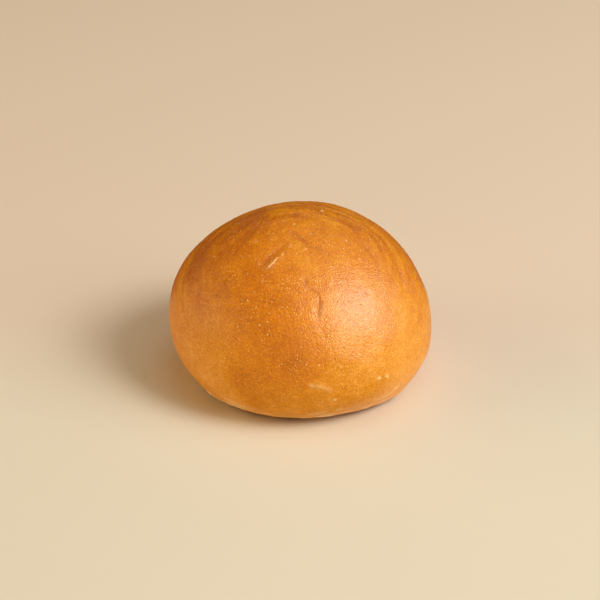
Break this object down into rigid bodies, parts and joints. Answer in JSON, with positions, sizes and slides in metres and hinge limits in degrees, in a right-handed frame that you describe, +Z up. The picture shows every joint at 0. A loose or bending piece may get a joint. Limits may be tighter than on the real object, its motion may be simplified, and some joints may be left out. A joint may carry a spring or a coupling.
{
  "type": "hamburger bun",
  "caption": "Soft round hamburger bun, baked whole and uncut, with a glossy golden-brown domed crust, a side that tucks in and a flat base to stand on.",
  "frame": {"origin": "middle of the flat base, under the middle of the bun's box", "axes": "+Z up to the crown, -Y towards the side that the picture shows, +X to that view's right"},
  "size_m": [0.1058, 0.1042, 0.0685],
  "materials": {
    "crust": "satin egg-washed crust"
  },
  "bodies": {
    "root": {"bun": "crust"}
  },
  "joints": []
}
